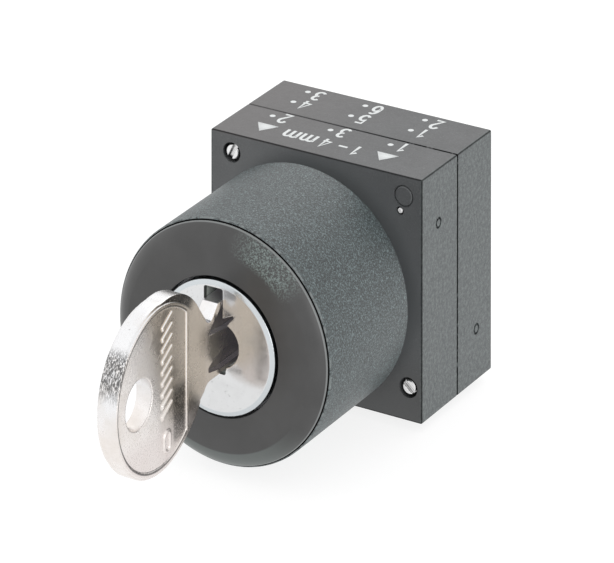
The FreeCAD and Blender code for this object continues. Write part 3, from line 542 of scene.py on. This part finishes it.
def baked(piece):
    """Applies a piece's modifiers to its mesh."""
    bpy.context.view_layer.update()
    graph = bpy.context.evaluated_depsgraph_get()
    mesh = bpy.data.meshes.new_from_object(piece.evaluated_get(graph))
    piece.modifiers.clear()
    piece.data = mesh
    mesh.polygons.foreach_set("use_smooth", [True] * len(mesh.polygons))


def arc_points(a, middle, b, count):
    """Points on the circle through three (radius, y) points, from a to b, both left out."""
    (ax, ay), (mx, my), (bx, by) = a, middle, b
    d = 2.0 * (ax * (my - by) + mx * (by - ay) + bx * (ay - my))
    sa, sm, sb = ax * ax + ay * ay, mx * mx + my * my, bx * bx + by * by
    cx = (sa * (my - by) + sm * (by - ay) + sb * (ay - my)) / d
    cy = (sa * (bx - mx) + sm * (ax - bx) + sb * (mx - ax)) / d
    radius = math.hypot(ax - cx, ay - cy)
    start = math.atan2(ay - cy, ax - cx)
    sweep = math.remainder(math.atan2(by - cy, bx - cx) - start, math.tau)
    angles = [start + sweep * i / (count + 1) for i in range(1, count + 1)]
    return [(cx + radius * math.cos(t), cy + radius * math.sin(t)) for t in angles]


def eased(points, radius, count=4):
    """The closed outline with each corner rounded by a small arc."""
    result = []
    total = len(points)
    for i, (x, y) in enumerate(points):
        corner = Vector((x, y))
        before = Vector(points[i - 1]) - corner
        after = Vector(points[(i + 1) % total]) - corner
        bend = math.pi - before.angle(after)
        reach = min(radius, before.length * 0.45, after.length * 0.45)
        if bend < 0.35:
            result.append((x, y))
            continue
        start = corner + before.normalized() * reach
        end = corner + after.normalized() * reach
        for k in range(count + 1):
            t = k / count
            point = start * (1 - t) ** 2 + corner * (2 * t * (1 - t)) + end * t ** 2
            result.append((point.x, point.y))
    return result


def lathe(name, outline, steps=240):
    """A closed (radius, y) outline turned about the lock axis."""
    points = []
    for s in range(steps):
        turn = math.tau * s / steps
        points += [(r * math.cos(turn), y, r * math.sin(turn)) for r, y in outline]
    count = len(outline)
    faces = []
    for s in range(steps):
        here, there = s * count, ((s + 1) % steps) * count
        for i in range(count):
            j = (i + 1) % count
            faces.append((here + i, here + j, there + j, there + i))
    mesh = mesh_of(name, points, faces)
    outward(mesh)
    return mesh


def outward(mesh):
    """Turns all faces outwards."""
    work = bmesh.new()
    work.from_mesh(mesh)
    bmesh.ops.recalc_face_normals(work, faces=work.faces)
    work.to_mesh(mesh)
    work.free()


def skin(name, node, voxel, passes, most):
    """A dense, softened copy of a CAD node. Its edges come out slightly rounded, as if worn."""
    source = frame["nodes"][node].data
    work = bmesh.new()
    work.from_mesh(source)
    bmesh.ops.remove_doubles(work, verts=work.verts, dist=1e-7)
    mesh = bpy.data.meshes.new(name)
    points = [v.co[:] for v in work.verts]
    faces = [[v.index for v in f.verts] for f in work.faces]
    work.free()
    mesh.from_pydata(points, [], faces)
    piece = bpy.data.objects.new(name, mesh)
    bpy.context.scene.collection.objects.link(piece)
    remesh = piece.modifiers.new("remesh", "REMESH")
    remesh.mode = "VOXEL"
    remesh.voxel_size = voxel * MM
    smooth = piece.modifiers.new("smooth", "SMOOTH")
    smooth.factor = 0.5
    smooth.iterations = passes
    baked(piece)
    triangles = 2 * len(piece.data.polygons)
    if triangles > most:
        lighter = piece.modifiers.new("decimate", "DECIMATE")
        lighter.ratio = most / triangles
        baked(piece)
    mesh = piece.data
    bpy.data.objects.remove(piece)
    mesh.name = name
    return mesh


# ---------------------------------------------------------------- pieces

def make_collar(material):
    """The round body, with its panel wall, gasket groove and lug."""
    wall_front = COLLAR_BACK - COLLAR_WALL
    gasket_floor = COLLAR_BACK - GASKET_DEPTH
    outline = eased([
        (COLLAR_R, COLLAR_FRONT), (COLLAR_R, COLLAR_BACK),
        (GASKET_R[1], COLLAR_BACK), (GASKET_R[1], gasket_floor),
        (GASKET_R[0], gasket_floor), (GASKET_R[0], COLLAR_BACK),
        (NECK_HOLE_R, COLLAR_BACK), (NECK_HOLE_R, wall_front),
        (COLLAR_BORE_R, wall_front), (COLLAR_BORE_R, SHOULDER_Y),
        (COLLAR_MOUTH_R, SHOULDER_Y), (COLLAR_MOUTH_R, COLLAR_FRONT),
    ], COLLAR_EASE)
    mesh = lathe("collar", outline)
    piece = new_piece("collar", mesh, material, "switch_body")
    add_lug(piece)
    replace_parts(piece, "lock_collar")


def add_lug(piece):
    """The anti-turn lug at the top of the collar's rear face."""
    work = bmesh.new()
    made = bmesh.ops.create_cube(work, size=1.0)
    size = Vector((2 * LUG_HALF, LUG_Y[1] - LUG_Y[0], LUG_Z[1] - LUG_Z[0])) * MM
    middle = Vector((0.0, sum(LUG_Y) / 2, sum(LUG_Z) / 2)) * MM
    for vertex in made["verts"]:
        vertex.co = middle + Vector(a * b for a, b in zip(vertex.co, size))
    bmesh.ops.bevel(work, geom=work.edges[:], offset=LUG_EASE * MM, segments=3,
                    affect="EDGES")
    mesh = bpy.data.meshes.new("lug")
    work.to_mesh(mesh)
    work.free()
    lug = bpy.data.objects.new("lug", mesh)
    bpy.context.scene.collection.objects.link(lug)
    join = piece.modifiers.new("join", "BOOLEAN")
    join.operation = "UNION"
    join.object = lug
    baked(piece)
    bpy.data.objects.remove(lug)


def make_bezel(material):
    """The front ring, crowned from its edge to its flat face."""
    edge = (BEZEL_R, BEZEL_SEAT - 0.2)
    flat = (BEZEL_FLAT_R, FACE_Y)
    outline = [
        (BEZEL_SKIRT_R[0], BEZEL_SKIRT_END), (BEZEL_SKIRT_R[1], BEZEL_SKIRT_END),
        (BEZEL_SKIRT_R[1], BEZEL_SEAT), (BEZEL_R, BEZEL_SEAT), edge,
        *arc_points(edge, BEZEL_CROWN, flat, 14), flat,
        (BEZEL_BORE_R, FACE_Y), (BEZEL_BORE_R, BEZEL_BACK), (BEZEL_SKIRT_R[0], BEZEL_BACK),
    ]
    mesh = lathe("bezel", eased(outline, BEZEL_EASE))
    piece = new_piece("bezel", mesh, material, "switch_body")
    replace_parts(piece, "front_bezel")


def make_key(material):
    mesh = skin("key_skin", "key", *KEY_SKIN)
    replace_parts(new_piece("key_skin", mesh, material, "key"), "key")


def make_plug(material):
    mesh = skin("plug_skin", "lock_plug", *PLUG_SKIN)
    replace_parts(new_piece("plug_skin", mesh, material, "plug"), "lock_plug")


def make_screws(material):
    mesh = skin("screw_skin", "housing_screws", *SCREW_SKIN)
    piece = new_piece("screw_skin", mesh, material, "switch_body")
    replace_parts(piece, "housing_screws")


def make_springs(material):
    """The springs that a moving piece presses on, as smooth-shaded copies."""
    for number in (1, 2, 3):
        press(f"return_spring_{number}", material)
    press("latch_springs", material)


def press(node, material):
    """A smooth-shaded copy of a CAD spring."""
    mesh = frame["nodes"][node].data.copy()
    mesh.polygons.foreach_set("use_smooth", [True] * len(mesh.polygons))
    piece = new_piece(node + "_wire", mesh, material, "switch_body")
    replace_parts(piece, node)
    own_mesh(piece)


# ---------------------------------------------------------------- printed marks

def bend(middle, radii, start, end, count=10):
    """Points along an ellipse, from one angle in degrees to another."""
    angles = [math.radians(start + (end - start) * i / count) for i in range(count + 1)]
    return [(middle[0] + radii[0] * math.cos(t), middle[1] + radii[1] * math.sin(t))
            for t in angles]


def strokes_of(sign):
    """A digit or letter as strokes in a box one unit wide and high."""
    if sign == "1":
        return [[(0.3, 0.74), (0.75, 1.0), (0.75, 0.0)]]
    if sign == "2":
        return [bend((0.5, 0.72), (0.45, 0.28), 165, -25) + [(0.05, 0.0), (1.0, 0.0)]]
    if sign == "3":
        upper = bend((0.45, 0.75), (0.42, 0.25), 150, -90)
        return [upper + bend((0.45, 0.26), (0.5, 0.26), 90, -150)]
    if sign == "4":
        return [[(0.75, 0.0), (0.75, 1.0), (0.0, 0.27), (1.0, 0.27)]]
    if sign == "5":
        bowl = bend((0.48, 0.33), (0.48, 0.33), 130, -150)
        return [[(0.95, 1.0), (0.15, 1.0), (0.08, 0.52)] + bowl]
    if sign == "6":
        stem = bend((0.55, 0.5), (0.5, 0.5), 60, 180, 8)
        return [stem + bend((0.5, 0.32), (0.45, 0.32), 180, 540, 16)]
    if sign == "m":
        half = bend((0.25, 0.72), (0.25, 0.28), 180, 0, 6)
        other = bend((0.75, 0.72), (0.25, 0.28), 180, 0, 6)
        return [[(0.0, 1.0), (0.0, 0.0)], half + [(0.5, 0.0)], other + [(1.0, 0.0)]]
    return [[(0.0, 0.4), (1.0, 0.4)]]


def print_lines():
    """Each sign with its left edge, base line and size: (sign, x, y, (width, height))."""
    dash = (1.2, DIGIT[1])
    places = [("1", 4.45, DIGIT), ("-", 2.4, dash), ("4", -0.1, DIGIT),
              ("m", -2.3, LETTER), ("m", -4.7, LETTER)]
    lines = [(sign, x, RANGE_BASE, size) for sign, x, size in places]
    for base, signs in DIGIT_ROWS.items():
        lines += [(sign, x, base, DIGIT) for sign, x in zip(signs, DIGIT_COLUMNS)]
    return lines


def print_dots():
    """Centres of the dots that follow each position number."""
    return [(x, y) for y in DOT_ROWS for x in DOT_COLUMNS]


def make_print(material):
    """All strokes as one thin raised mesh on the block's top."""
    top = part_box("holder_front_housing")[1].z / MM
    curve = bpy.data.curves.new("print", "CURVE")
    curve.dimensions = "3D"
    curve.bevel_depth = STROKE / 2 * MM
    curve.bevel_resolution = 3
    curve.use_fill_caps = True
    for sign, x, y, (width, height) in print_lines():
        for stroke in strokes_of(sign):
            spline = curve.splines.new("POLY")
            spline.points.add(len(stroke) - 1)
            for point, (u, v) in zip(spline.points, stroke):
                point.co = ((x - u * width) * MM, (y - v * height) * MM, 0.0, 1.0)
    piece = bpy.data.objects.new("print", curve)
    bpy.context.scene.collection.objects.link(piece)
    bpy.context.view_layer.update()
    graph = bpy.context.evaluated_depsgraph_get()
    mesh = bpy.data.meshes.new_from_object(piece.evaluated_get(graph))
    bpy.data.objects.remove(piece)
    work = bmesh.new()
    work.from_mesh(mesh)
    for x, y in print_dots():
        add_dot(work, x, y)
    for tip in ARROW_TIPS:
        add_arrow(work, tip)
    flat = 2 * INK / STROKE
    for vertex in work.verts:
        vertex.co.z = top * MM + vertex.co.z * flat
    work.to_mesh(mesh)
    work.free()
    mesh.polygons.foreach_set("use_smooth", [True] * len(mesh.polygons))
    new_piece("printed_marks", mesh, material, "switch_body")


def add_dot(work, x, y):
    made = bmesh.ops.create_uvsphere(work, u_segments=20, v_segments=10, radius=0.38 * MM)
    for vertex in made["verts"]:
        vertex.co = Vector((vertex.co.x + x * MM, vertex.co.y + y * MM, vertex.co.z * 0.5))


def add_arrow(work, tip):
    """A filled triangle whose point is at tip."""
    x, y = tip
    half, length, thick = 1.5, 2.25, STROKE / 2
    corners = [(x, y), (x - half, y + length), (x + half, y + length)]
    low = [work.verts.new(Vector((a, b, -thick)) * MM) for a, b in corners]
    high = [work.verts.new(Vector((a, b, thick)) * MM) for a, b in corners]
    faces = [work.faces.new(low[::-1]), work.faces.new(high)]
    for i in range(3):
        j = (i + 1) % 3
        faces.append(work.faces.new((low[i], low[j], high[j], high[i])))
    bmesh.ops.recalc_face_normals(work, faces=faces)


# ---------------------------------------------------------------- studio

def make_studio():
    """White surroundings, a softly glowing pale floor and two soft lamps."""
    world = bpy.data.worlds.new("studio")
    bpy.context.scene.world = world
    world.use_nodes = True
    shade_world(world.node_tree)
    bpy.context.scene.view_settings.view_transform = "Standard"
    bpy.context.scene.view_settings.look = "None"
    half = FLOOR_HALF
    z = FLOOR_Z * MM
    mesh = bpy.data.meshes.new("floor")
    mesh.from_pydata([(-half, -half, z), (half, -half, z), (half, half, z), (-half, half, z)],
                     [], [(0, 1, 2, 3)])
    floor = bpy.data.objects.new("floor", mesh)
    bpy.context.scene.collection.objects.link(floor)
    finish = Finish("floor_paper", (0.22, 0.22, 0.22), 0.9)
    finish.bump(finish.noise(0.8, 3.0), 0.01)
    finish.shader.inputs["Emission Color"].default_value = (1.0, 1.0, 1.0, 1.0)
    finish.shader.inputs["Emission Strength"].default_value = FLOOR_GLOW
    mesh.materials.append(finish.done())
    for name, settings in LAMPS.items():
        add_lamp(name, *settings)


def shade_world(tree):
    """White all round, stronger from the upper left. The camera itself sees it plain white."""
    place = tree.nodes.new("ShaderNodeTexCoord").outputs["Generated"]
    lean = tree.nodes.new("ShaderNodeVectorMath")
    lean.operation = "DOT_PRODUCT"
    lean.inputs[1].default_value = Vector(LIGHT_FROM).normalized()
    strength = tree.nodes.new("ShaderNodeMapRange")
    ends = (-1.0, 1.0, *WORLD_STRENGTH)
    for socket, value in zip(strength.inputs[1:5], ends):
        socket.default_value = value
    tree.links.new(place, lean.inputs[0])
    tree.links.new(lean.outputs["Value"], strength.inputs[0])
    seen = tree.nodes.new("ShaderNodeMath")
    seen.operation = "MAXIMUM"
    tree.links.new(strength.outputs[0], seen.inputs[0])
    tree.links.new(tree.nodes.new("ShaderNodeLightPath").outputs["Is Camera Ray"], seen.inputs[1])
    tree.links.new(seen.outputs[0], tree.nodes["Background"].inputs["Strength"])
    tree.nodes["Background"].inputs["Color"].default_value = (1.0, 1.0, 1.0, 1.0)


def add_lamp(name, place, size, power):
    """A square soft lamp that looks at the object."""
    light = bpy.data.lights.new(name, "AREA")
    light.size = size
    light.energy = power
    lamp = bpy.data.objects.new(name, light)
    lamp.location = place
    lamp.rotation_euler = (-Vector(place)).to_track_quat("-Z", "Y").to_euler()
    bpy.context.scene.collection.objects.link(lamp)


def make_camera():
    """The main view. The lens shift holds only at the camera's own place."""
    lens = bpy.data.cameras.new("camera")
    camera = bpy.data.objects.new("camera", lens)
    bpy.context.scene.collection.objects.link(camera)
    bpy.context.scene.camera = camera
    camera.location = CAMERA_PLACE
    camera.rotation_euler = (math.pi / 2 - CAMERA_PITCH, 0.0, CAMERA_TURN)
    lens.sensor_width = CAMERA_SENSOR
    lens.lens = CAMERA_LENS
    lens.clip_start = 0.05
    lens.clip_end = 20.0
    for path, shift in zip(("shift_x", "shift_y"), CAMERA_SHIFT):
        driver = lens.driver_add(path).driver
        driver.type = "SCRIPTED"
        variable = driver.variables.new()
        variable.name = "at"
        variable.type = "TRANSFORMS"
        variable.targets[0].id = camera
        variable.targets[0].transform_type = "LOC_X"
        variable.targets[0].transform_space = "WORLD_SPACE"
        driver.expression = f"{shift} if abs(at - {CAMERA_PLACE[0]}) < 0.0005 else 0.0"


def dress_nodes(materials):
    """Gives every CAD node the material of its slot."""
    for part in frame["record"]["subparts"]:
        mesh = frame["nodes"][part["node"]].data
        mesh.materials.clear()
        mesh.materials.append(materials[part["material_slot"]])


def main():
    materials = make_materials()
    dress_nodes(materials)
    make_collar(materials["collar_moulding"])
    make_bezel(materials["bezel_moulding"])
    make_plug(materials["plug_nickel"])
    make_key(materials["key_nickel_silver"])
    make_screws(materials["screw_steel"])
    make_springs(materials["spring_steel"])
    make_print(ink().done())
    make_studio()
    make_camera()


main()
